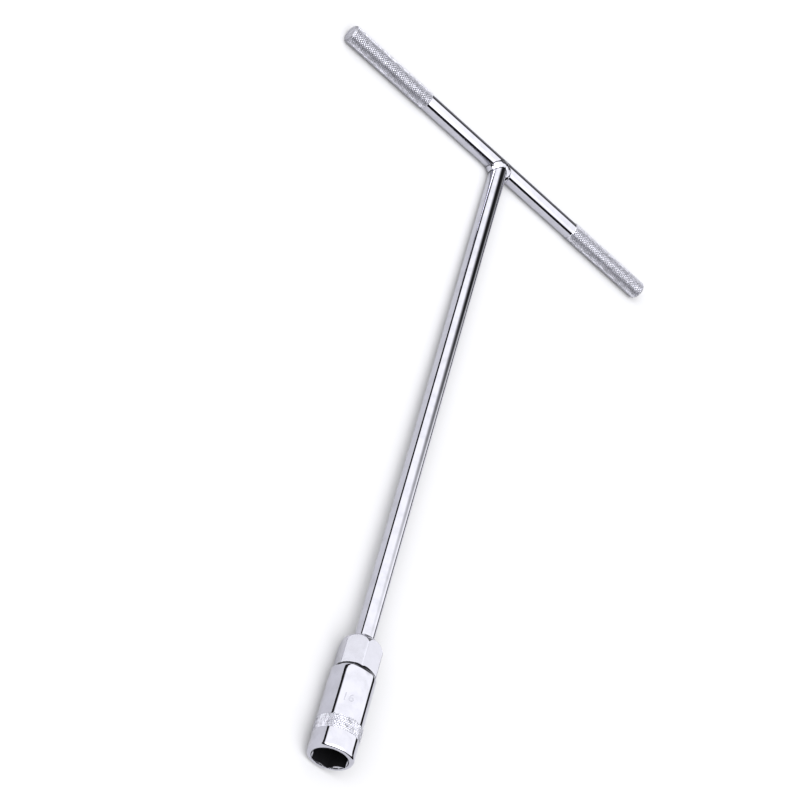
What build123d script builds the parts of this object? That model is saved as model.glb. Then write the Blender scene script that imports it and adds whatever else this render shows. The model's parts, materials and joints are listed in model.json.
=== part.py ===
"""T-handle socket wrench: a round crossbar welded across a long round shaft, with a deep
hexagon socket for spark plugs fixed on the shaft's other end.

Each piece is first made in the tool's own axes: X along the crossbar, Z up the shaft from the
middle of the socket's mouth. It is then laid down as the tool rests on a bench: X still along the
crossbar, Y along the shaft towards the crossbar, Z up, and the bench top at Z = 0.
"""

from build123d import *
import math
import os

# ---- driving dimensions, in millimetres and degrees ----

# crossbar: round bar with a raised diamond knurl on its outer parts
BAR_DIAMETER = 10.0
BAR_LENGTH = 235.0
GRIP_DIAMETER = 10.5  # over the crests of the knurl
GRIP_LENGTH = 58.8
GRIP_RUN_OUT = 0.25  # cone from the knurl's crests down to the plain bar
BAR_END_CHAMFER = 0.9

# shaft
SHAFT_DIAMETER = 9.8
BAR_HEIGHT = 386.6  # from the socket's mouth to the crossbar's axis
SHAFT_SEAT = 50.0  # height above the mouth where the shaft's lower end sits
SHAFT_END_CHAMFER = 0.6

# fillet welds
TEE_REACH = 20.0  # length of bar and of shaft that is enough to work out the tee
TEE_WELD_RADIUS = 3.4
SOCKET_WELD_LEG = 1.1

# socket, outside
BODY_DIAMETER = 22.6
BODY_EDGE = 43.9  # where the round body's straight wall ends
SHOULDER_RADIUS = 3.4  # of the arc that rounds the body over to the middle of each hexagon flat
HEX_ACROSS_FLATS = 19.0
HEX_TURN = 9.0  # one corner is this far round from the crossbar's direction
SOCKET_LENGTH = 65.5
DOME_RADIUS = 7.0
MOUTH_OUTER_ROUND = 1.5
BAND_BOTTOM = 10.3  # knurled band for turning the socket with the fingers
BAND_TOP = 17.8
BAND_DIAMETER = 22.8

# socket, inside
RECESS_ACROSS_FLATS = 16.1  # takes a 16 mm spark plug hexagon
RECESS_DEPTH = 22.0
RECESS_TURN = -4.0
MOUTH_OPENING = 18.2  # diameter of the lead-in cone at the mouth
LEAD_IN_ANGLE = 40.0  # slope of the lead-in cone, from the mouth's plane
CAVITY_DIAMETER = 16.4  # round clearance above the hexagon
CAVITY_TOP = 48.0
GROOVE_DIAMETER = 17.8  # holds the bead of the rubber insert
GROOVE_BOTTOM = 26.0
GROOVE_TOP = 28.5

# rubber insert that grips the insulator of the plug
INSERT_BOTTOM = 22.6
INSERT_TOP = 43.0
INSERT_BORE = 11.4
RIB_COUNT = 6
RIB_HEIGHT = 0.9
RIB_WIDTH = 1.6
RIB_ROOT = 1.0  # how deep a rib is rooted in the sleeve
RIB_SETBACK = 1.5  # from the insert's lower end to the ribs
INSERT_CHAMFER = 1.0
INSERT_CLEARANCE = 0.1  # between the rubber and the groove's walls

OVERSHOOT = 1.0  # how far a cut or a joined piece runs past the face it meets

# ---- sizes that follow ----

bar_radius = BAR_DIAMETER / 2
grip_radius = GRIP_DIAMETER / 2
shaft_radius = SHAFT_DIAMETER / 2
body_radius = BODY_DIAMETER / 2
band_radius = BAND_DIAMETER / 2
half_bar = BAR_LENGTH / 2
cavity_radius = CAVITY_DIAMETER / 2
groove_radius = GROOVE_DIAMETER / 2

shoulder_step = body_radius - HEX_ACROSS_FLATS / 2
shoulder_height = math.sqrt(SHOULDER_RADIUS**2 - (SHOULDER_RADIUS - shoulder_step) ** 2)
body_top = BODY_EDGE + shoulder_height

# The tool rests on the crossbar and on the top edge of the socket's round body.
lean = math.degrees(math.asin((body_radius - grip_radius) / (BAR_HEIGHT - BODY_EDGE)))


def turned(*points):
    """Solid turned about Z from (radius, height) points that run round its half section."""
    return revolve(Plane.XZ * make_face(Polyline(*points, close=True)), Axis.Z)


def hexagon(across_flats, bottom, top, turn):
    """Hexagonal prism about Z, with one corner at the angle turn."""
    outline = RegularPolygon(across_flats / 2, 6, major_radius=False, rotation=turn)
    return Pos(0, 0, bottom) * extrude(outline, top - bottom)


def crossbar():
    """Round bar along X with its two knurled grips and chamfered ends."""
    grip_start = half_bar - GRIP_LENGTH
    run_out = grip_start - GRIP_RUN_OUT
    end = grip_radius - BAR_END_CHAMFER
    shoulder = half_bar - BAR_END_CHAMFER
    right = [
        (bar_radius, run_out),
        (grip_radius, grip_start),
        (grip_radius, shoulder),
        (end, half_bar),
    ]
    left = [(radius, -along) for radius, along in reversed(right)]
    bar = turned((0, half_bar), (0, -half_bar), *left, *right)
    return Pos(0, 0, BAR_HEIGHT) * Rot(0, 90, 0) * bar


def plain_crossbar():
    """The crossbar's plain middle, long enough to cut or join at the tee."""
    return Pos(0, 0, BAR_HEIGHT) * Rot(0, 90, 0) * Cylinder(bar_radius, 2 * TEE_REACH)


def shaft():
    """Round shaft, coped at the top to fit under the crossbar and chamfered at its seat."""
    length = BAR_HEIGHT - SHAFT_SEAT
    rod = Pos(0, 0, SHAFT_SEAT) * Cylinder(
        shaft_radius, length, align=(Align.CENTER, Align.CENTER, Align.MIN)
    )
    rod = chamfer(rod.edges().sort_by(Axis.Z)[0], SHAFT_END_CHAMFER)
    return rod - plain_crossbar()


def tee_weld():
    """Concave fillet weld all round the joint of shaft and crossbar."""
    stub = Pos(0, 0, BAR_HEIGHT) * Cylinder(
        shaft_radius, TEE_REACH, align=(Align.CENTER, Align.CENTER, Align.MAX)
    )
    bar = plain_crossbar()
    tee = bar + stub
    seam = [e for e in tee.edges() if e.geom_type not in (GeomType.CIRCLE, GeomType.LINE)]
    return fillet(seam, TEE_WELD_RADIUS) - bar - stub


def socket_outside():
    """Round body with a rounded shoulder, a domed hexagon above it and a knurled band."""
    top_of_side = SOCKET_LENGTH - DOME_RADIUS
    widest = HEX_ACROSS_FLATS / math.sqrt(3)
    dome_centre = widest - DOME_RADIUS
    dome_top = (dome_centre, SOCKET_LENGTH)
    dome_side = (widest, top_of_side)
    arc = RadiusArc(dome_top, dome_side, DOME_RADIUS)
    sides = Polyline(dome_side, (widest, 0), (0, 0), (0, SOCKET_LENGTH), dome_top)
    dome = revolve(Plane.XZ * make_face([arc, sides]), Axis.Z)
    hexagon_end = dome & hexagon(HEX_ACROSS_FLATS, BODY_EDGE, SOCKET_LENGTH, HEX_TURN)
    wall = turned(
        (0, 0),
        (body_radius, 0),
        (body_radius, BAND_BOTTOM),
        (band_radius, BAND_BOTTOM + band_radius - body_radius),
        (band_radius, BAND_TOP - band_radius + body_radius),
        (body_radius, BAND_TOP),
        (body_radius, BODY_EDGE),
        (0, BODY_EDGE),
    )
    shoulder_top = (body_radius - shoulder_step, body_top)
    shoulder_side = (body_radius, BODY_EDGE)
    arc = RadiusArc(shoulder_top, shoulder_side, SHOULDER_RADIUS)
    sides = Polyline(shoulder_side, (0, BODY_EDGE), (0, body_top), shoulder_top)
    body = wall + revolve(Plane.XZ * make_face([arc, sides]), Axis.Z)
    rim = body.edges().filter_by(GeomType.CIRCLE).group_by(Axis.Z)[0]
    return fillet(rim, MOUTH_OUTER_ROUND) + hexagon_end


def socket_inside():
    """Space inside the socket: lead-in cone, hexagon recess, cavity, groove and shaft seat."""
    slope = math.tan(math.radians(LEAD_IN_ANGLE))
    opening = MOUTH_OPENING / 2
    mouth = opening + OVERSHOOT / slope
    lead_in = turned((0, -OVERSHOOT), (mouth, -OVERSHOOT), (0, opening * slope))
    recess = hexagon(RECESS_ACROSS_FLATS, -OVERSHOOT, RECESS_DEPTH, RECESS_TURN)
    cavity = turned(
        (0, RECESS_DEPTH),
        (cavity_radius, RECESS_DEPTH),
        (cavity_radius, GROOVE_BOTTOM),
        (groove_radius, GROOVE_BOTTOM),
        (groove_radius, GROOVE_TOP),
        (cavity_radius, GROOVE_TOP),
        (cavity_radius, CAVITY_TOP),
        (shaft_radius, SHAFT_SEAT),
        (shaft_radius, SOCKET_LENGTH + OVERSHOOT),
        (0, SOCKET_LENGTH + OVERSHOOT),
    )
    return recess + lead_in + cavity


def socket():
    """Socket, bored right through: the plug goes in below and the shaft is pressed in above."""
    return socket_outside() - socket_inside()


def socket_weld():
    """Small fillet weld round the shaft on top of the socket's dome."""
    outer = shaft_radius + SOCKET_WELD_LEG
    ring = turned(
        (shaft_radius, SOCKET_LENGTH - OVERSHOOT),
        (outer, SOCKET_LENGTH - OVERSHOOT),
        (outer, SOCKET_LENGTH),
        (shaft_radius, SOCKET_LENGTH + SOCKET_WELD_LEG),
    )
    return ring - socket_outside()


def plug_grip_insert():
    """Rubber sleeve with ribs along its bore and a bead that snaps into the groove."""
    outer = cavity_radius
    bead = groove_radius - INSERT_CLEARANCE
    bore = INSERT_BORE / 2
    sleeve = turned(
        (bore + INSERT_CHAMFER, INSERT_BOTTOM),
        (outer, INSERT_BOTTOM),
        (outer, GROOVE_BOTTOM + INSERT_CLEARANCE),
        (bead, GROOVE_BOTTOM + INSERT_CLEARANCE),
        (bead, GROOVE_TOP - INSERT_CLEARANCE),
        (outer, GROOVE_TOP - INSERT_CLEARANCE),
        (outer, INSERT_TOP),
        (bore, INSERT_TOP),
        (bore, INSERT_BOTTOM + INSERT_CHAMFER),
    )
    rib_bottom = INSERT_BOTTOM + RIB_SETBACK
    rib = Pos(bore + RIB_ROOT, 0, rib_bottom) * Box(
        RIB_HEIGHT + RIB_ROOT,
        RIB_WIDTH,
        INSERT_TOP - rib_bottom,
        align=(Align.MAX, Align.CENTER, Align.MIN),
    )
    for i in range(RIB_COUNT):
        sleeve += Rot(0, 0, i * 360 / RIB_COUNT) * rib
    return sleeve


def laid_down(pieces):
    """The pieces as they rest on the bench, with the origin under the middle of their box."""
    tilt = Rot(-(90 + lean), 0, 0)
    box = Compound([tilt * piece for piece in pieces.values()]).bounding_box()
    place = Pos(0, -box.center().Y, -box.min.Z)
    return {name: place * tilt * piece for name, piece in pieces.items()}


def main():
    makers = [crossbar, shaft, tee_weld, socket, socket_weld, plug_grip_insert]
    pieces = laid_down({maker.__name__: maker() for maker in makers})
    os.makedirs("parts", exist_ok=True)
    for name, piece in pieces.items():
        export_step(piece, f"parts/{name}.step")


main()
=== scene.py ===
"""Looks of a T-handle socket wrench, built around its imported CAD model.

The tool is a round crossbar with two diamond-knurled grips, welded across a long round shaft that
carries a deep hexagon socket. It lies on a pale floor under soft studio light.

Every piece is worked out in the tool's own axes: x along the crossbar, z up the shaft from the
middle of the socket's mouth, and y across both. placed() lays it where the CAD model lies.
All sizes are in metres.
"""

import json
import math

import bmesh
import bpy
import numpy as np
from mathutils import Matrix, Vector


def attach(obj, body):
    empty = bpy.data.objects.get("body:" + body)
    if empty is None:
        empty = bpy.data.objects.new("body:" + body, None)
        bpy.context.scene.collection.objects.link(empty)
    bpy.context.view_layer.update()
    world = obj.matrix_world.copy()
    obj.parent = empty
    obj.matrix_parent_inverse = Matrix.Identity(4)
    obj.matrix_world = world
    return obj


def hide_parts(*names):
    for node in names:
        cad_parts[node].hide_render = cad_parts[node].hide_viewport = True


bl_info = {
    "name": "T-handle socket wrench",
    "version": (1, 0, 0),
    "blender": (4, 5, 0),
    "location": "View3D > Sidebar > Wrench",
    "description": "Builds the wrench's finished pieces and the stage it lies on",
    "category": "Add Mesh",
}

MM = 0.001
BODY = "root"

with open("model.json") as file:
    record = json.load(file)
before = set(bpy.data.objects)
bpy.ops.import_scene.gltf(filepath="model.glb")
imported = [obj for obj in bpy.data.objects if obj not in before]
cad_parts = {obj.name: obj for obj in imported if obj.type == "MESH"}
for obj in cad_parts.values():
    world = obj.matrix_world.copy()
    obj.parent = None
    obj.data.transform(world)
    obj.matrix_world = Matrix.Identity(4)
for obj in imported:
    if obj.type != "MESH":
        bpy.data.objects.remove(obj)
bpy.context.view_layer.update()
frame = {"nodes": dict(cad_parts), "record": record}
mounts = {mount["name"]: mount for mount in frame["record"]["mounts"]}

# ---- the tool's own axes, and the sizes that the frame gives ----

mouth = np.array(mounts["plug_hexagon"]["pos_m"])
up_shaft = -np.array(mounts["plug_hexagon"]["axis"])
along_bar = np.array(mounts["handle_right"]["axis"])
tool_axes = np.array([along_bar, np.cross(up_shaft, along_bar), up_shaft])


def placed(points):
    """Points in the tool's own axes, moved to where the tool lies."""
    return mouth + points.reshape(-1, 3) @ tool_axes


def reach(node):
    """Lowest and highest corner of a CAD node, in the tool's own axes."""
    mesh = frame["nodes"][node].data
    points = np.empty(len(mesh.vertices) * 3, np.float32)
    mesh.vertices.foreach_get("co", points)
    own = (points.reshape(-1, 3) - mouth) @ tool_axes.T
    return own.min(axis=0), own.max(axis=0)


crest_radius = mounts["handle_right"]["dims"]["r_mm"] * MM
body_radius = mounts["socket_body"]["dims"]["r_mm"] * MM
bar_height = float((np.array(mounts["handle_right"]["pos_m"]) - mouth) @ up_shaft)
half_bar = float(reach("crossbar")[1][0])
shaft_bottom = float(reach("shaft")[0][2])
socket_length = float(reach("socket")[1][2])
insert_bottom = float(reach("plug_grip_insert")[0][2])
insert_top = float(reach("plug_grip_insert")[1][2])


# ---- settings that a user would change ----


def length_setting(name, millimetres, description):
    """A setting that holds a length."""
    return bpy.props.FloatProperty(
        name=name, description=description, default=millimetres * MM, unit="LENGTH"
    )


def angle_setting(name, degrees, description):
    """A setting that holds an angle."""
    return bpy.props.FloatProperty(
        name=name, description=description, default=math.radians(degrees), subtype="ANGLE"
    )


def colour_setting(name, hex_value, description):
    """A setting that holds a colour, as an sRGB hex value."""
    return bpy.props.StringProperty(name=name, description=description, default=hex_value)


class BarSettings(bpy.types.PropertyGroup):
    """Sizes of the crossbar and of the shaft."""

    bar_radius: length_setting("Bar radius", 5.0, "Radius of the crossbar between its grips")
    shaft_radius: length_setting("Shaft radius", 4.9, "Radius of the long shaft")
    grip_length: length_setting("Grip length", 58.8, "Length of the knurl at each end of the bar")
    end_chamfer: length_setting("End chamfer", 0.9, "Width of the chamfer on the crossbar's ends")
    knurl_depth: length_setting("Knurl depth", 0.28, "Depth of the grooves below the crests")
    knurl_starts: bpy.props.IntProperty(
        name="Knurl starts",
        description="Number of grooves of each hand round the bar",
        default=28,
    )


class SocketSettings(bpy.types.PropertyGroup):
    """Sizes of the socket and of the rubber in it."""

    across_flats: length_setting(
        "Outer hexagon", 19.0, "Distance across the flats of the hexagon that a spanner fits"
    )
    recess_across_flats: length_setting(
        "Plug hexagon", 16.1, "Distance across the flats of the recess that fits the plug"
    )
    hexagon_turn: angle_setting(
        "Outer hexagon's turn", 9.0, "Angle from the crossbar to a corner of the outer hexagon"
    )
    recess_turn: angle_setting(
        "Plug hexagon's turn", -4.0, "Angle from the crossbar to a corner of the recess"
    )
    body_edge: length_setting(
        "Body edge", 43.9, "Height at which the round body's straight wall ends"
    )
    shoulder_radius: length_setting(
        "Shoulder radius", 3.4, "Radius of the arc that rounds the body over to the hexagon"
    )
    opening_radius: length_setting(
        "Opening radius", 9.1, "Radius of the lead-in cone in the mouth's plane"
    )
    band_bottom: length_setting("Band bottom", 10.3, "Lower edge of the knurled finger band")
    band_top: length_setting("Band top", 17.8, "Upper edge of the knurled finger band")
    recess_depth: length_setting("Recess depth", 22.0, "Depth of the hexagonal recess")
    mark: bpy.props.StringProperty(
        name="Size mark",
        description="Number etched on the socket's body",
        default="16",
    )


class FinishSettings(bpy.types.PropertyGroup):
    """Colours of the finishes."""

    chrome: colour_setting("Chrome", "#BFBFC8", "Polished chrome plating")
    stain: colour_setting("Stains", "#B3B3BB", "Plating that handling has dulled")
    # Colour of the knurl's grooves and sides: painted shade, mixed with dirty patches.
    shade_and_dirt: colour_setting("Knurl grime", "#7A7A80", "Dirt on the sides of the knurl's diamonds")
    # Colour of the painted shade in the socket's shoulder corner and mouth, and along the welds'
    # toes.
    painted_shade: colour_setting("Soot", "#1C1C1E", "Dirt in corners, and scale at the welds' toes")
    # Steel inside the socket, painted near black for the shade deep in the recess.
    shaded_bare_steel: colour_setting("Bare steel", "#2B2B2E", "Dark oiled steel inside the socket")
    rubber: colour_setting("Rubber", "#1C1C1D", "Nitrile rubber of the plug grip")
    satin: colour_setting("Satin chrome", "#BCBCC5", "Plating on the forged hexagon")
    etching: colour_setting("Etching", "#9C9CA4", "Etched size mark")


class StageSettings(bpy.types.PropertyGroup):
    """Floor, light and camera."""

    floor: colour_setting("Floor", "#98989A", "Board that the tool lies on")
    sky_strength: bpy.props.FloatProperty(
        name="Sky strength",
        description="Brightness of the soft white tent over the tool",
        default=1.81,
    )
    lens: bpy.props.FloatProperty(
        name="Lens",
        description="The camera's focal length, in millimetres",
        default=109.7,
    )


# ---- surfaces: grids of points whose columns close round an axis ----

SIXTH = math.pi / 3
TWELFTH = math.pi / 6


def ring_faces(rows, columns, wraps=False):
    """Quads of a grid whose columns close on themselves.

    Row by row, each quad joins two neighbouring points with the two above them. With wraps, the
    last row also meets the first. A quad faces outwards where columns turn anticlockwise about an
    axis and rows climb along it.
    """
    row = np.arange(rows if wraps else rows - 1)[:, None]
    column = np.arange(columns)[None, :]
    above = (row + 1) % rows
    beside = (column + 1) % columns
    corners = np.broadcast_arrays(
        row * columns + column,
        row * columns + beside,
        above * columns + beside,
        above * columns + column,
    )
    return np.stack(corners, axis=-1).reshape(-1, 4)


def folded(quads, columns, first_row=0):
    """The quads cut in two, along diagonals that change hand from quad to quad, so that the
    folds of a diamond knurl lie on edges."""
    row, column = np.divmod(np.arange(len(quads)), columns)
    rising = ((first_row + row + column) % 2 == 0)[:, None, None]
    a, b, c, d = quads.T
    first = np.stack([np.stack([a, b, c], 1), np.stack([a, c, d], 1)], 1)
    second = np.stack([np.stack([a, b, d], 1), np.stack([b, c, d], 1)], 1)
    return np.where(rising, first, second).reshape(-1, 3)


def fan_faces(ring, centre, facing_up):
    """Triangles from each edge of a ring of corner numbers to a centre point."""
    following = np.roll(ring, -1)
    centres = np.full(len(ring), centre)
    order = [ring, following, centres] if facing_up else [following, ring, centres]
    return np.stack(order, axis=1)


def round_grid(radius, height, angle):
    """Points at (radius, angle) about z, at a height. The three are arrays that broadcast to one
    grid of rows by columns."""
    radius, height, angle = np.broadcast_arrays(radius, height, angle)
    return np.stack([radius * np.cos(angle), radius * np.sin(angle), height], axis=-1)


def turns_of(columns):
    """Evenly spaced angles round a full turn."""
    return np.arange(columns) * 2 * math.pi / columns


def add_piece(name, points, faces, finishes, finish_of=None, flat=None, sharp=None):
    """Makes a mesh of points in the tool's own axes.

    faces is a list of face arrays, and finish_of gives each array's finish. flat gives the arrays
    that are shaded flat, and the others are smooth, with edges sharper than sharp kept.
    """
    mesh = bpy.data.meshes.new(name)
    mesh.from_pydata(placed(points).tolist(), [], [f for group in faces for f in group.tolist()])
    counts = [len(group) for group in faces]
    finish_of = finish_of or [0] * len(faces)
    flat = flat or [False] * len(faces)
    mesh.polygons.foreach_set("material_index", np.repeat(finish_of, counts).astype(np.int32))
    mesh.polygons.foreach_set("use_smooth", ~np.repeat(flat, counts))
    for finish in finishes:
        mesh.materials.append(finish)
    if sharp:
        mesh.set_sharp_from_angle(angle=sharp)
    mesh.validate()
    piece = bpy.data.objects.new(name, mesh)
    bpy.context.scene.collection.objects.link(piece)
    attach(piece, BODY)
    return piece


def write_painted_shade(piece, values):
    """Stores how much painted shade darkens each point, from 0 on open metal to 1 in a groove or
    corner.
    """
    attribute = piece.data.attributes.new("shade_and_dirt", "FLOAT", "POINT")
    attribute.data.foreach_set("value", values.astype(np.float32).ravel())


# ---- shapes that several pieces share ----

KNURL_STEPS = 6  # grid steps to one pitch of the knurl
KNURL_SLOPE = math.tan(math.radians(30.0))  # of the grooves, against the axis
FLAT_TIPS = 1 / 3  # share of a sharp pyramid's height that is left under its flat tip


def triangle_wave(place):
    """0 at whole numbers, 1 halfway between them, and straight lines from one to the other."""
    return 1 - np.abs(2 * (place - np.floor(place)) - 1)


def knurl(angle, along, starts, pitch):
    """Height of a diamond knurl, from 0 in its grooves to 1 on its tips.

    Two sets of grooves wind round the bar, one of each hand. Each set is a triangle wave of the
    angle plus or minus the distance along, and the height is the lower of the two waves, cut off
    flat near the tips.
    """
    turn = angle * starts / (2 * math.pi)
    right_hand = triangle_wave(turn + along / pitch)
    left_hand = triangle_wave(turn - along / pitch)
    return np.minimum(np.minimum(right_hand, left_hand) / FLAT_TIPS, 1)


def knurl_pitch(radius, starts):
    """Distance along the axis from one diamond to the next."""
    return 2 * math.pi * radius / starts / KNURL_SLOPE


def from_corner(angle, turn):
    """Angle from the nearest corner of a hexagon that has one corner at turn."""
    return np.mod(angle - turn + TWELFTH, SIXTH) - TWELFTH


def hexagon_radius(angle, half_flats, turn, rounding):
    """Distance from the axis to a hexagon with rounded corners.

    Along a flat it is the half width over the cosine of the angle from the flat's middle. Near a
    corner it is the far side of a small circle that touches both flats.
    """
    off = from_corner(angle, turn)
    centre = (half_flats - rounding) / math.cos(TWELFTH)
    flat = half_flats / np.cos(TWELFTH - np.abs(off))
    under_root = np.maximum(rounding**2 - (centre * np.sin(off)) ** 2, 0)
    corner = centre * np.cos(off) + np.sqrt(under_root)
    touch = TWELFTH - math.atan2(centre * math.sin(TWELFTH), half_flats)
    return np.where(np.abs(off) > touch, flat, corner)


def crowded(angle, turn):
    """Angles moved towards the corners of a hexagon, so that more columns go round each corner.

    The angle from the nearest corner, as a share of a twelfth of a turn, becomes a quarter of
    itself plus three quarters of its cube.
    """
    off = from_corner(angle, turn)
    share = off / TWELFTH
    return angle - off + TWELFTH * (0.25 * share + 0.75 * share**3)


def lumps(angle, across):
    """Uneven swellings of a hand-laid weld, about -1 to 1: a sum of waves round and across it."""
    return (
        0.45 * np.sin(3 * angle + 0.7)
        + 0.35 * np.sin(7 * angle - 4 * across + 2.1)
        + 0.30 * np.cos(11 * angle + 5 * across)
    )


# ---- materials ----


def linear_colour(hex_value):
    """An sRGB hex value as linear red, green, blue and alpha."""
    channels = [int(hex_value[i : i + 2], 16) / 255 for i in (1, 3, 5)]
    return [c / 12.92 if c <= 0.04045 else ((c + 0.055) / 1.055) ** 2.4 for c in channels] + [1.0]


def fill_inputs(tree, node, inputs):
    """Links each named input of a node to a socket, or sets it to a value."""
    for name, value in inputs.items():
        if isinstance(value, bpy.types.NodeSocket):
            tree.links.new(value, node.inputs[name])
        else:
            node.inputs[name].default_value = value


def add_node(tree, kind, settings=None, inputs=None):
    """Adds a node, sets its properties, and links or sets its inputs."""
    node = tree.nodes.new(kind)
    for name, value in (settings or {}).items():
        setattr(node, name, value)
    fill_inputs(tree, node, inputs or {})
    return node


def noise(tree, size, detail, place=None):
    """Noise in the piece's own coordinates, with swells of about size millimetres."""
    inputs = {
        "Vector": place or add_node(tree, "ShaderNodeTexCoord").outputs["Object"],
        "Scale": 1 / (size * MM),
        "Detail": detail,
    }
    return add_node(tree, "ShaderNodeTexNoise", inputs=inputs).outputs["Fac"]


def remap(tree, value, low=0.0, high=1.0, at_low=0.0, at_high=1.0, smooth=False):
    """Goes from at_low to at_high as value goes from low to high, along a line or an S curve."""
    settings = {"interpolation_type": "SMOOTHSTEP" if smooth else "LINEAR"}
    inputs = {
        "Value": value,
        "From Min": low,
        "From Max": high,
        "To Min": at_low,
        "To Max": at_high,
    }
    return add_node(tree, "ShaderNodeMapRange", settings, inputs).outputs["Result"]


def calculate(tree, operation, *values, clamp=False):
    """A sum or product of values, held between 0 and 1 with clamp."""
    settings = {"operation": operation, "use_clamp": clamp}
    return add_node(tree, "ShaderNodeMath", settings, dict(enumerate(values))).outputs[0]


def mix_values(tree, share, first, second):
    """The first number, or the second where share is 1."""
    inputs = {"Factor": share, 2: first, 3: second}
    return add_node(tree, "ShaderNodeMix", {"data_type": "FLOAT"}, inputs).outputs[0]


def mix_colours(tree, share, first, second):
    """The first colour, or the second where share is 1."""
    inputs = {"Factor": share, 6: first, 7: second}
    return add_node(tree, "ShaderNodeMix", {"data_type": "RGBA"}, inputs).outputs[2]


def bumps(tree, height, depth):
    """Surface direction over bumps of up to depth millimetres."""
    inputs = {"Height": height, "Strength": 1.0, "Distance": depth * MM}
    return add_node(tree, "ShaderNodeBump", inputs=inputs).outputs["Normal"]


def gathered_painted_shade(tree):
    """The painted shade stored on each point of the piece."""
    return add_node(tree, "ShaderNodeAttribute", {"attribute_name": "shade_and_dirt"}).outputs["Fac"]


def named_material(name):
    """Lets a function that fills in a shader give the whole material, which is made once."""

    def wrap(fill_in):
        def material():
            if name not in bpy.data.materials:
                made = bpy.data.materials.new(name)
                made.use_nodes = True
                tree = made.node_tree
                tree.nodes.clear()
                shader = add_node(tree, "ShaderNodeBsdfPrincipled")
                inputs = {"Surface": shader.outputs[0]}
                add_node(tree, "ShaderNodeOutputMaterial", inputs=inputs)
                fill_in(tree, shader)
            return bpy.data.materials[name]

        return material

    return wrap


@named_material("bright chrome plating")
def bright_chrome(tree, shader):
    """Decorative chrome plating over polished steel.

    It gives the eye a cool mirror. Handling leaves faint duller stains, the polish leaves a
    waviness of a few millimetres that bends straight reflections a little, and painted shade
    darkens the socket's shoulder corner and mouth and the welds' toes.
    """
    finish = bpy.context.scene.wrench_finish
    stained = remap(tree, noise(tree, 6.0, 4.0), 0.42, 0.78)
    plating = mix_colours(
        tree, stained, linear_colour(finish.chrome), linear_colour(finish.stain)
    )
    shine = remap(tree, stained, at_low=0.02, at_high=0.07)
    # Painted shade: the stored values, frayed by fine noise, darken the plating to the shade colour
    # and roughen it.
    ragged = calculate(tree, "MULTIPLY", gathered_painted_shade(tree), noise(tree, 0.8, 2.0))
    darkening = remap(tree, ragged, 0.12, 0.34, smooth=True)
    inputs = {
        "Base Color": mix_colours(tree, darkening, plating, linear_colour(finish.painted_shade)),
        "Metallic": 1.0,
        "Roughness": mix_values(tree, darkening, shine, 0.6),
        "Normal": bumps(tree, noise(tree, 3.5, 1.0), 0.004),
    }
    fill_inputs(tree, shader, inputs)


@named_material("satin chrome plating")
def satin_chrome(tree, shader):
    """Chrome plating over forged steel that was blasted and not polished.

    It gives the eye a soft, even, slightly lavender sheen, with a fine grain that catches light.
    """
    inputs = {
        "Base Color": linear_colour(bpy.context.scene.wrench_finish.satin),
        "Metallic": 1.0,
        "Roughness": remap(tree, noise(tree, 4.0, 3.0), at_low=0.16, at_high=0.30),
        "Normal": bumps(tree, noise(tree, 0.3, 2.0), 0.006),
    }
    fill_inputs(tree, shader, inputs)


@named_material("chrome plating on knurling")
def knurled_chrome(tree, shader):
    """Chrome plating over a rolled diamond knurl.

    The flat tips have a soft shine. The sides of the diamonds are duller and painted greyer
    towards the grooves as shade, with dirty patches of a millimetre or two.
    """
    finish = bpy.context.scene.wrench_finish
    # Darker towards the grooves from the stored painted shade, plus random dirty patches.
    patches = calculate(tree, "MULTIPLY_ADD", noise(tree, 1.4, 3.0), 1.6, -0.55)
    amount = calculate(tree, "ADD", gathered_painted_shade(tree), patches, clamp=True)
    darkening = remap(tree, amount, -0.1, 0.9, smooth=True)
    inputs = {
        "Base Color": mix_colours(
            tree, darkening, linear_colour(finish.chrome), linear_colour(finish.shade_and_dirt)
        ),
        "Metallic": 1.0,
        "Roughness": remap(tree, darkening, at_low=0.30, at_high=0.45),
        "Normal": bumps(tree, noise(tree, 0.3, 2.0), 0.01),
    }
    fill_inputs(tree, shader, inputs)


@named_material("bare steel with painted shade")
def steel_with_painted_shade(tree, shader):
    """Broached and oiled steel inside the socket, where the plating hardly reaches.

    It is a dull metal, painted near black for the shade deep in the recess, with the broach's
    fine lines along the axis.
    """
    place = add_node(tree, "ShaderNodeTexCoord").outputs["Object"]
    stretch = {"Vector": place, "Scale": (1.0, 0.05, 1.0)}
    stretched = add_node(tree, "ShaderNodeMapping", inputs=stretch).outputs[0]
    broaching = noise(tree, 0.4, 2.0, stretched)
    inputs = {
        "Base Color": linear_colour(bpy.context.scene.wrench_finish.shaded_bare_steel),
        "Metallic": 1.0,
        "Roughness": remap(tree, broaching, at_low=0.35, at_high=0.6),
        "Normal": bumps(tree, broaching, 0.02),
    }
    fill_inputs(tree, shader, inputs)


@named_material("moulded nitrile rubber")
def nitrile_rubber(tree, shader):
    """Moulded nitrile rubber: near black, matt, with a fine moulded grain and a trace of bloom."""
    inputs = {
        "Base Color": linear_colour(bpy.context.scene.wrench_finish.rubber),
        "IOR": 1.52,
        "Roughness": remap(tree, noise(tree, 5.0, 3.0), at_low=0.55, at_high=0.85),
        "Normal": bumps(tree, noise(tree, 0.25, 3.0), 0.03),
    }
    fill_inputs(tree, shader, inputs)


@named_material("etched chrome")
def etched_chrome(tree, shader):
    """Electro-etched chrome: the etch takes the shine off, so the mark is a soft flat grey."""
    inputs = {
        "Base Color": linear_colour(bpy.context.scene.wrench_finish.etching),
        "Metallic": 1.0,
        "Roughness": remap(tree, noise(tree, 0.2, 2.0), at_low=0.45, at_high=0.7),
    }
    fill_inputs(tree, shader, inputs)


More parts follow.
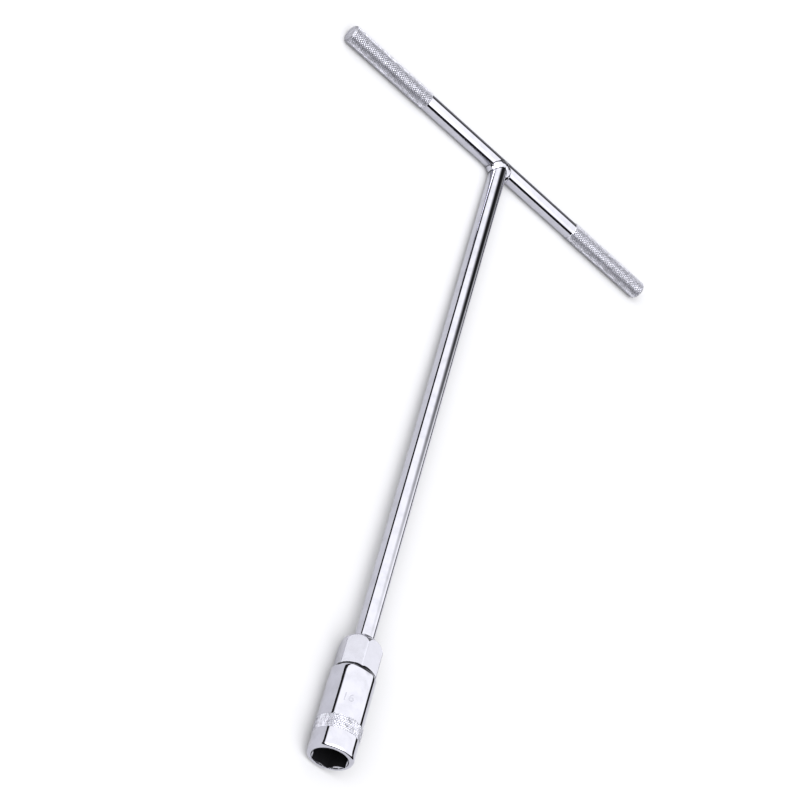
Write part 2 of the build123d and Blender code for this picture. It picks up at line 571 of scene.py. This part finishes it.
@named_material("matt board")
def painted_floor(tree, shader):
    """Smooth matt board, a plain pale grey."""
    inputs = {
        "Base Color": linear_colour(bpy.context.scene.wrench_stage.floor),
        "Roughness": 0.9,
        "Specular IOR Level": 0.1,
    }
    fill_inputs(tree, shader, inputs)


# ---- pieces ----


class WRENCH_OT_crossbar(bpy.types.Operator):
    """Add the crossbar with its knurled grips and chamfered ends"""

    bl_idname = "wrench.crossbar"
    bl_label = "Crossbar"

    def execute(self, context):
        sizes = context.scene.wrench_bar
        starts = sizes.knurl_starts
        pitch = knurl_pitch(crest_radius, starts)
        step = pitch / KNURL_STEPS
        columns = starts * KNURL_STEPS
        angle = turns_of(columns)[None, :]

        # One grip, from the bar's end inwards.
        from_end = np.arange(int(sizes.grip_length / step) + 1)[:, None] * step
        height = knurl(angle, from_end, starts, pitch)
        knurled = crest_radius - sizes.knurl_depth * (1 - height)
        run_out = 2 * step
        share = np.clip((sizes.grip_length - from_end) / run_out, 0, 1)
        cone = crest_radius - sizes.end_chamfer + from_end
        grip = np.minimum(sizes.bar_radius + share * (knurled - sizes.bar_radius), cone)

        # The plain bar has rows close to each grip, so that its shading stays straight.
        plain_end = half_bar - sizes.grip_length
        near_end = plain_end - 0.3 * MM
        plain = np.array([-plain_end, -near_end, near_end, plain_end])
        along = np.concatenate([from_end[:, 0] - half_bar, plain, half_bar - from_end[::-1, 0]])
        even = np.ones((len(plain), columns))
        radius = np.concatenate([grip, sizes.bar_radius * even, grip[::-1]])
        standing = np.concatenate([height, even, height[::-1]])

        across = radius * np.cos(angle)
        rise = bar_height + radius * np.sin(angle)
        along = np.broadcast_to(along[:, None], radius.shape)
        points = np.stack([along, across, rise], axis=-1).reshape(-1, 3)
        rows = len(radius)
        ends = np.array([[-half_bar, 0, bar_height], [half_bar, 0, bar_height]])
        quads = ring_faces(rows, columns)
        cut = len(from_end) * columns
        left, middle, right = np.split(quads, [cut, len(quads) - cut])
        last_ring = np.arange((rows - 1) * columns, rows * columns)
        piece = add_piece(
            "crossbar_knurled",
            np.concatenate([points, ends]),
            [
                folded(left, columns),
                middle,
                folded(right, columns, len(from_end)),
                fan_faces(np.arange(columns), rows * columns, False),
                fan_faces(last_ring, rows * columns + 1, True),
            ],
            [bright_chrome(), knurled_chrome()],
            [1, 0, 1, 1, 1],
            [True, False, True, True, True],
        )
        # Painted shade in the knurl's grooves: 1 at a groove's bottom, 0 on the tips and on the
        # plain bar.
        write_painted_shade(piece, np.concatenate([1 - standing.ravel(), [0, 0]]))
        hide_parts("crossbar")
        return {"FINISHED"}


class WRENCH_OT_shaft(bpy.types.Operator):
    """Add the long shaft, coped under the crossbar"""

    bl_idname = "wrench.shaft"
    bl_label = "Shaft"

    def execute(self, context):
        sizes = context.scene.wrench_bar
        columns = 96
        angle = turns_of(columns)[None, :]
        rod = sizes.shaft_radius
        chamfer = 0.6 * MM
        foot = shaft_bottom + chamfer
        near_tee = bar_height - 3 * sizes.bar_radius

        # Four level rows, then two that lie in the cope, where the crossbar's surface cuts the
        # shaft: its height is the bar's axis less the root of bar radius squared less y squared.
        radius = np.array([rod - chamfer, rod, rod, rod, rod, rod / 2])[:, None]
        level = np.array([[shaft_bottom], [foot], [foot + chamfer], [near_tee]])
        cope = bar_height - np.sqrt(sizes.bar_radius**2 - (radius[-2:] * np.sin(angle)) ** 2)
        height = np.concatenate([np.broadcast_to(level, (len(level), columns)), cope])
        rows = len(height)
        points = round_grid(radius, height, angle).reshape(-1, 3)
        ends = np.array([[0, 0, shaft_bottom], [0, 0, bar_height - sizes.bar_radius]])
        last_ring = np.arange((rows - 1) * columns, rows * columns)
        piece = add_piece(
            "shaft_rod",
            np.concatenate([points, ends]),
            [
                ring_faces(rows, columns),
                fan_faces(np.arange(columns), rows * columns, False),
                fan_faces(last_ring, rows * columns + 1, True),
            ],
            [bright_chrome()],
            sharp=math.radians(30),
        )
        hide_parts("shaft")
        return {"FINISHED"}


class WRENCH_OT_tee_weld(bpy.types.Operator):
    """Add the dressed and plated weld where the shaft meets the crossbar"""

    bl_idname = "wrench.tee_weld"
    bl_label = "Tee weld"

    def execute(self, context):
        sizes = context.scene.wrench_bar
        bar = sizes.bar_radius
        rod = sizes.shaft_radius
        columns = 144
        angle = turns_of(columns)[None, :]
        across = np.linspace(0, 1, 17)[:, None]
        facing = np.sin(angle)

        # The seam where the shaft's surface meets the crossbar's, and both surfaces' directions.
        round_bar = np.arcsin(rod * facing / bar)
        seam = round_grid(rod, bar_height - bar * np.cos(round_bar), angle)
        off_rod = np.stack([np.cos(angle), facing, 0 * angle], axis=-1)
        off_bar = np.stack([0 * angle, np.sin(round_bar), -np.cos(round_bar)], axis=-1)

        # The bead starts on the shaft, below the seam.
        leg = (2.5 + 0.35 * lumps(angle, 0)) * MM
        start = seam - np.stack([0 * leg, 0 * leg, leg], axis=-1)
        # It ends on the crossbar, out along it at the sides and over its crown on top.
        leg = (2.6 + 0.45 * lumps(angle, 2)) * MM
        climb = round_bar + leg * facing / bar
        along = (rod + leg) * np.cos(angle)
        end = np.stack([along, bar * np.sin(climb), bar_height - bar * np.cos(climb)], axis=-1)
        # Between them it is a full curve through a point that stands off the seam, furthest at
        # the two corners beside the shaft, and least underneath, where the tool lies on it.
        fullness = 1.0 - 0.4 * facing + 1.3 * np.cos(angle) ** 2
        ripple = 1 + 0.07 * np.sin(19 * angle + 3 * across) + 0.12 * lumps(angle, 3 * across)
        between = off_rod + off_bar
        between = between / np.linalg.norm(between, axis=-1, keepdims=True)
        control = seam + between * (fullness * ripple * MM)[..., None]
        v = across[..., None]
        curve = (1 - v) ** 2 * start + 2 * v * (1 - v) * control + v**2 * end

        inside = seam * np.array([0.8, 0.8, 1.0]) + np.array([0, 0, 0.5 * MM])
        points = np.concatenate([curve, inside])
        piece = add_piece(
            "tee_weld_bead",
            points.reshape(-1, 3),
            [ring_faces(len(points), columns, wraps=True)],
            [bright_chrome()],
        )
        # Painted shade lies along both toes' creases, thickest on the left of the shaft and, along
        # the crossbar, on the right.
        shaft_toe = (0.55 - 0.45 * np.sin(angle + 0.6)) * np.exp(-((across / 0.13) ** 2))
        bar_toe = (0.45 + 0.55 * np.sin(angle - 2.3)) * np.exp(-(((1 - across) / 0.15) ** 2))
        toe_shade = np.clip(np.maximum(shaft_toe, bar_toe), 0, 1)
        write_painted_shade(piece, np.concatenate([toe_shade, 0 * angle]))
        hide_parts("tee_weld")
        return {"FINISHED"}


# The bare steel inside the socket is painted near black for the shade deep in the recess.
CHROME, KNURLING, SATIN, SHADED_BARE = range(4)  # the socket's finishes


def ring(radius, height, angle, finish=CHROME, shade_and_dirt=0.0):
    """One row of the socket's surface: its radius and height at each angle, the finish of the
    faces between it and the next row, and the painted shade on it."""
    return radius, height, angle, finish, shade_and_dirt


def mouth_edge(angle):
    """The mouth's rounded outer edge: a quarter circle."""
    rounding = 1.5 * MM
    rings = []
    for part in np.linspace(0, math.pi / 2, 9):
        across = rounding * (1 - math.sin(part))
        rings.append(ring(body_radius - across, rounding * (1 - math.cos(part)), angle))
    return [*rings, ring(body_radius, 2 * rounding, angle)]


def finger_band(sizes, angle, starts):
    """The finger band: the same knurl as on the grips, almost flush with the body."""
    step = knurl_pitch(body_radius, starts) / KNURL_STEPS
    count = int((sizes.band_top - sizes.band_bottom) / step)
    proud = 0.1 * MM
    depth = 0.20 * MM
    rings = [ring(body_radius, sizes.band_bottom - 0.1 * MM, angle)]
    for i in range(count + 1):
        height = knurl(angle, i * step, starts, step * KNURL_STEPS)
        raised = min(i, count - i, 1)
        radius = body_radius + raised * (proud - depth * (1 - height))
        finish = KNURLING if i < count else CHROME
        # Painted shade in the band's grooves, at a quarter strength.
        shade_and_dirt = 0.25 * (1 - height)
        rings.append(ring(radius, sizes.band_bottom + i * step, angle, finish, shade_and_dirt))
    return [*rings, *(ring(body_radius, sizes.band_top + gap * MM, angle) for gap in (0.1, 0.6))]


def shoulder(sizes, even, at_corners, wall):
    """The round wall above the band, then an arc that turns inwards until it meets the hexagon.

    On the way up the columns move to the hexagon's corners. The arc's radius from the axis is the
    body's less r (1 - cos t), and its height is the wall's end plus r sin t, with r the arc's own
    radius. It stops where that radius is the hexagon's, and painted shade darkens the corner there.
    """
    rings = []
    for share in np.linspace(0, 1, 6):
        height = sizes.body_edge - (8 - 6 * share) * MM
        rings.append(ring(body_radius, height, even + share * (at_corners - even)))
    arc = sizes.shoulder_radius
    meeting = np.arccos(1 - (body_radius - wall) / arc)
    for share in np.linspace(0, 1, 13):
        turn = share * meeting
        radius = body_radius - arc * (1 - np.cos(turn))
        height = sizes.body_edge + arc * np.sin(turn)
        # Painted shade: none on the lower part of the arc, growing to full towards the corner with
        # the hexagon.
        shade_and_dirt = max(0, 3.5 * share - 1.0)
        rings.append(ring(radius, height, at_corners, CHROME, shade_and_dirt))
    return [*rings, ring(wall, height + 0.45 * MM, at_corners, SATIN, 1.0)]


def domed_hexagon(sizes, rod, at_corners, wall):
    """The hexagon's flats, then a dome: a circle's arc turned about the axis, which trims the
    hexagon's corners."""
    dome = 7.0 * MM
    centre = sizes.across_flats / math.sqrt(3) - dome
    start = socket_length - dome
    lowest = np.arccos(np.clip((wall - centre) / dome, -1, 1))
    highest = math.acos((rod - centre) / dome)
    rings = [ring(wall, start + dome * np.sin(lowest) - 0.2 * MM, at_corners, SATIN)]
    for share in np.linspace(0, 1, 15):
        turn = lowest + share * (highest - lowest)
        radius = centre + dome * np.cos(turn)
        rings.append(ring(radius, start + dome * np.sin(turn), at_corners, SATIN))
    return rings


def socket_bore(sizes, rod, even, in_recess):
    """Inside, from the top down: shaft seat, cavity, groove for the rubber, hexagon, lead-in.

    The lead-in cone starts at the opening's circle and runs down to the flats. Near the corners,
    which stand outside that circle, nothing is left of it but a broken edge.
    """
    cavity = 8.2 * MM
    groove = 8.9 * MM
    groove_bottom = 26.0 * MM
    groove_top = 28.5 * MM
    slope = math.tan(math.radians(40.0))
    broken_edge = 0.03 * MM
    flats = hexagon_radius(in_recess, sizes.recess_across_flats / 2, sizes.recess_turn, 0.3 * MM)
    opening = np.maximum(flats + broken_edge, sizes.opening_radius)
    lead_in = (opening - flats) * slope
    round_part = [
        (rod, shaft_bottom + 0.4 * MM),
        (rod, shaft_bottom),
        (cavity, shaft_bottom - 2.0 * MM),
        (cavity, groove_top),
        (groove, groove_top),
        (groove, groove_bottom),
        (cavity, groove_bottom),
        (cavity, sizes.recess_depth),
    ]
    return [
        # The bore's steel, painted near black for the shade in the recess.
        *(ring(radius, height, even, SHADED_BARE) for radius, height in round_part),
        ring(flats, sizes.recess_depth, in_recess, SHADED_BARE),
        ring(flats, lead_in + 0.3 * MM, in_recess, SHADED_BARE),
        ring(flats, lead_in, in_recess),
        # Painted shade on the lead-in: none at the flats, darkest just inside the broken edge.
        ring((flats + opening) / 2, lead_in / 2, in_recess, CHROME, 0.45),
        ring(opening - broken_edge / 3, lead_in / 20, in_recess, CHROME, 0.9),
        ring(opening, 0.0, in_recess),
    ]


class WRENCH_OT_socket(bpy.types.Operator):
    """Add the socket: knurled round body, shoulder, domed hexagon, and the recess in its mouth"""

    bl_idname = "wrench.socket"
    bl_label = "Socket"

    def execute(self, context):
        sizes = context.scene.wrench_socket
        rod = context.scene.wrench_bar.shaft_radius
        starts = 60
        columns = starts * KNURL_STEPS
        even = turns_of(columns)[None, :]
        at_corners = crowded(even, sizes.hexagon_turn)
        in_recess = crowded(even, sizes.recess_turn)
        wall = hexagon_radius(at_corners, sizes.across_flats / 2, sizes.hexagon_turn, 1.0 * MM)

        below = mouth_edge(even)
        rings = [
            *below,
            *finger_band(sizes, even, starts),
            *shoulder(sizes, even, at_corners, wall),
            *domed_hexagon(sizes, rod, at_corners, wall),
            *socket_bore(sizes, rod, even, in_recess),
        ]
        grids = [round_grid(radius, height, angle) for radius, height, angle, _, _ in rings]
        points = np.stack([grid[0] for grid in grids])
        finish_of = [finish for _, _, _, finish, _ in rings]
        quads = ring_faces(len(rings), columns, wraps=True).reshape(len(rings), columns, 4)
        band_start = len(below) + 1
        piece = add_piece(
            "socket_body",
            points.reshape(-1, 3),
            [
                folded(quad, columns, i - band_start) if finish_of[i] == KNURLING else quad
                for i, quad in enumerate(quads)
            ],
            [bright_chrome(), knurled_chrome(), satin_chrome(), steel_with_painted_shade()],
            finish_of,
            [finish == KNURLING for finish in finish_of],
            sharp=math.radians(28),
        )
        write_painted_shade(piece, np.stack([np.broadcast_to(shade_and_dirt, even.shape) for *_, shade_and_dirt in rings]))
        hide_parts("socket")
        return {"FINISHED"}


class WRENCH_OT_socket_weld(bpy.types.Operator):
    """Add the thin weld round the shaft on top of the socket"""

    bl_idname = "wrench.socket_weld"
    bl_label = "Socket weld"

    def execute(self, context):
        rod = context.scene.wrench_bar.shaft_radius
        columns = 96
        angle = turns_of(columns)[None, :]
        section = np.linspace(math.radians(-25), math.radians(90), 9)[:, None]
        leg = (0.9 + 0.07 * lumps(angle, section)) * MM
        bead = round_grid(rod + leg * np.cos(section), socket_length + leg * np.sin(section), angle)
        inside = round_grid(
            rod - 0.1 * MM, socket_length + np.array([[0.0], [-0.5]]) * MM, angle
        )
        points = np.concatenate([bead, inside])
        piece = add_piece(
            "socket_weld_bead",
            points.reshape(-1, 3),
            [ring_faces(len(points), columns, wraps=True)],
            [bright_chrome()],
        )
        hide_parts("socket_weld")
        return {"FINISHED"}


class WRENCH_OT_plug_grip(bpy.types.Operator):
    """Add the ribbed rubber sleeve that holds the plug"""

    bl_idname = "wrench.plug_grip"
    bl_label = "Plug grip"

    def execute(self, context):
        columns = 144
        angle = turns_of(columns)[None, :]
        outer = 8.2 * MM
        bore = 5.7 * MM
        bead = 8.8 * MM
        bead_bottom = 26.1 * MM
        bead_top = 28.4 * MM
        # Six ribs run along the bore: rounded ridges that stand on it at every sixth of a turn.
        off = from_corner(angle, 0.0) * bore
        rib = 0.9 * MM * np.exp(-((off / (0.85 * MM)) ** 4))
        lip = 1.0 * MM
        profile = [
            (bore + lip, insert_bottom),
            (outer - 0.3 * MM, insert_bottom),
            (outer, insert_bottom + 0.3 * MM),
            (outer, bead_bottom),
            (bead, bead_bottom),
            (bead, bead_top),
            (outer, bead_top),
            (outer, insert_top),
            (bore - rib, insert_top),
            (bore - rib, insert_bottom + 2.5 * MM),
            (bore - 0.7 * rib, insert_bottom + 1.7 * MM),
            (bore, insert_bottom + lip),
        ]
        grids = [round_grid(radius, height, angle) for radius, height in profile]
        points = np.concatenate(grids)
        piece = add_piece(
            "plug_grip_rubber",
            points.reshape(-1, 3),
            [ring_faces(len(points), columns, wraps=True)],
            [nitrile_rubber()],
            sharp=math.radians(35),
        )
        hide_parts("plug_grip_insert")
        return {"FINISHED"}


class WRENCH_OT_size_mark(bpy.types.Operator):
    """Add the size number etched on the socket's body"""

    bl_idname = "wrench.size_mark"
    bl_label = "Size mark"

    def execute(self, context):
        sizes = context.scene.wrench_socket
        curve = bpy.data.curves.new("size mark outline", "FONT")
        curve.body = sizes.mark
        curve.size = 6.0 * MM
        curve.align_x = "CENTER"
        curve.extrude = 0.03 * MM  # how far the figures' faces stand off the body
        outline = bpy.data.objects.new("size_mark_outline", curve)
        context.scene.collection.objects.link(outline)
        context.view_layer.update()
        drawn = outline.evaluated_get(context.evaluated_depsgraph_get())
        mesh = bpy.data.meshes.new_from_object(drawn)
        bpy.data.objects.remove(outline)
        bpy.data.curves.remove(curve)

        # Cuts across the figures let their faces follow the round body.
        shape = bmesh.new()
        shape.from_mesh(mesh)
        cut_spacing = 0.4 * MM
        cuts_each_side = 12
        for i in range(-cuts_each_side, cuts_each_side + 1):
            bmesh.ops.bisect_plane(
                shape,
                geom=shape.verts[:] + shape.edges[:] + shape.faces[:],
                plane_co=(i * cut_spacing, 0, 0),
                plane_no=(1, 0, 0),
            )
        bmesh.ops.remove_doubles(shape, verts=shape.verts, dist=0.001 * MM)
        shape.to_mesh(mesh)
        shape.free()

        # Wrapping: across the figures becomes an angle round the body, and up becomes height.
        flat = np.empty(len(mesh.vertices) * 3, np.float32)
        mesh.vertices.foreach_get("co", flat)
        across, up, out = flat.reshape(-1, 3).T
        middle = math.radians(-123)  # from the crossbar's direction, round the body
        foot = 25.3 * MM
        wrapped = round_grid(body_radius + out, foot + up, middle + across / body_radius)
        mesh.vertices.foreach_set("co", placed(wrapped).astype(np.float32).ravel())
        mesh.materials.clear()
        mesh.materials.append(etched_chrome())
        mesh.update()
        piece = bpy.data.objects.new("size_mark_etching", mesh)
        context.scene.collection.objects.link(piece)
        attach(piece, BODY)
        return {"FINISHED"}


# ---- stage ----


def aimed_camera(lens):
    """Camera above the socket's side of the tool, rolled so that the tool stands upright."""
    aim = Vector(placed(np.array([-19.03, 0.50, 202.15]) * MM)[0])
    distance = 1229.25 * MM
    heading = math.radians(36.506)
    pitch = math.radians(41.637)
    roll = math.radians(65.391)
    forward = Vector(
        (
            math.sin(heading) * math.cos(pitch),
            math.cos(heading) * math.cos(pitch),
            -math.sin(pitch),
        )
    )
    data = bpy.data.cameras.new("camera")
    data.lens = lens
    data.sensor_width = 36.0
    data.clip_end = 50.0
    camera = bpy.data.objects.new("camera", data)
    level = forward.to_track_quat("-Z", "Y").to_matrix()
    turn = level @ Matrix.Rotation(roll, 3, "Z")
    camera.matrix_world = Matrix.Translation(aim - forward * distance) @ turn.to_4x4()
    bpy.context.scene.collection.objects.link(camera)
    return camera


def tent_light(strength):
    """Soft white tent all round and over the tool, brightest behind the camera.

    It ends above the floor, which gives chrome its dark lines. Its lower edge is highest in front
    of the socket's mouth, and rises a little where the shaft's left side mirrors it. Beyond the
    crossbar it has a round opening, black above and grey below.
    """
    world = bpy.data.worlds.new("tent")
    world.use_nodes = True
    tree = world.node_tree
    tree.nodes.clear()
    direction = add_node(tree, "ShaderNodeTexCoord").outputs["Generated"]
    x, y, z = add_node(tree, "ShaderNodeSeparateXYZ", inputs={"Vector": direction}).outputs

    def ramp(value, low, high, at_low=0.0, at_high=1.0):
        """Smooth change from one brightness to another as value goes from low to high."""
        return remap(tree, value, low, high, at_low, at_high, smooth=True)

    def towards(heading, height):
        """How near each direction is to one of a heading and a height above the horizon: the
        cosine of the angle between them."""
        heading, height = math.radians(heading), math.radians(height)
        centre = (
            math.sin(heading) * math.cos(height),
            math.cos(heading) * math.cos(height),
            math.sin(height),
        )
        settings = {"operation": "DOT_PRODUCT"}
        node = add_node(tree, "ShaderNodeVectorMath", settings, {0: direction, 1: centre})
        return node.outputs["Value"]

    def cosine(degrees):
        return math.cos(math.radians(degrees))

    # The lower edge's height above the horizon, as a sine, and the light above it.
    edge = calculate(tree, "MULTIPLY_ADD", y, -0.17, 0.302)
    edge = calculate(tree, "MULTIPLY_ADD", x, 0.06, edge)
    rise = ramp(towards(-46, 12), cosine(14), cosine(5), 0.0, 0.12)
    over_edge = calculate(tree, "SUBTRACT", z, calculate(tree, "ADD", edge, rise))
    above_edge = ramp(over_edge, -0.03, 0.03, 0.01, 1.0)

    key = ramp(towards(-143, 45), cosine(55), cosine(15), 1.0, 5.0)
    opening = ramp(towards(13, 18), cosine(37), cosine(26.5))
    in_opening = ramp(z, 0.20, 0.60, 0.22, 0.01)
    brightness = mix_values(tree, opening, key, in_opening)
    brightness = calculate(tree, "MULTIPLY", brightness, above_edge)
    inputs = {
        "Color": (1, 1, 1, 1),
        "Strength": calculate(tree, "MULTIPLY", brightness, strength),
    }
    light = add_node(tree, "ShaderNodeBackground", inputs=inputs)
    add_node(tree, "ShaderNodeOutputWorld", inputs={"Surface": light.outputs[0]})
    return world


class WRENCH_OT_stage(bpy.types.Operator):
    """Add the floor, the soft light and the camera"""

    bl_idname = "wrench.stage"
    bl_label = "Stage"

    def execute(self, context):
        settings = context.scene.wrench_stage
        half = 20.0  # metres, so that the floor's edge is close to the horizon
        corners = [(-half, -half, 0), (half, -half, 0), (half, half, 0), (-half, half, 0)]
        mesh = bpy.data.meshes.new("floor")
        mesh.from_pydata(corners, [], [(0, 1, 2, 3)])
        mesh.materials.append(painted_floor())
        floor = bpy.data.objects.new("floor", mesh)
        context.scene.collection.objects.link(floor)
        context.scene.world = tent_light(settings.sky_strength)
        context.scene.camera = aimed_camera(settings.lens)
        context.scene.view_settings.view_transform = "Standard"
        return {"FINISHED"}


# ---- add-on ----


class WRENCH_PT_panel(bpy.types.Panel):
    """Lists the wrench's pieces and settings"""

    bl_idname = "WRENCH_PT_panel"
    bl_label = "T-handle socket wrench"
    bl_space_type = "VIEW_3D"
    bl_region_type = "UI"
    bl_category = "Wrench"

    def draw(self, context):
        for operator in operators:
            self.layout.operator(operator.bl_idname)
        for group in groups:
            settings = getattr(context.scene, group)
            for name in settings.bl_rna.properties.keys():
                if name not in ("rna_type", "name"):
                    self.layout.prop(settings, name)


groups = {
    "wrench_bar": BarSettings,
    "wrench_socket": SocketSettings,
    "wrench_finish": FinishSettings,
    "wrench_stage": StageSettings,
}
operators = (
    WRENCH_OT_stage,
    WRENCH_OT_crossbar,
    WRENCH_OT_shaft,
    WRENCH_OT_tee_weld,
    WRENCH_OT_socket,
    WRENCH_OT_socket_weld,
    WRENCH_OT_plug_grip,
    WRENCH_OT_size_mark,
)


def register():
    for cls in (*groups.values(), *operators, WRENCH_PT_panel):
        bpy.utils.register_class(cls)
    for name, cls in groups.items():
        setattr(bpy.types.Scene, name, bpy.props.PointerProperty(type=cls))


def unregister():
    for name in groups:
        delattr(bpy.types.Scene, name)
    for cls in (WRENCH_PT_panel, *reversed(operators), *groups.values()):
        bpy.utils.unregister_class(cls)


def main():
    register()
    bpy.ops.wrench.stage()
    bpy.ops.wrench.crossbar()
    bpy.ops.wrench.shaft()
    bpy.ops.wrench.tee_weld()
    bpy.ops.wrench.socket()
    bpy.ops.wrench.socket_weld()
    bpy.ops.wrench.plug_grip()
    bpy.ops.wrench.size_mark()


if __name__ == "__main__":
    main()
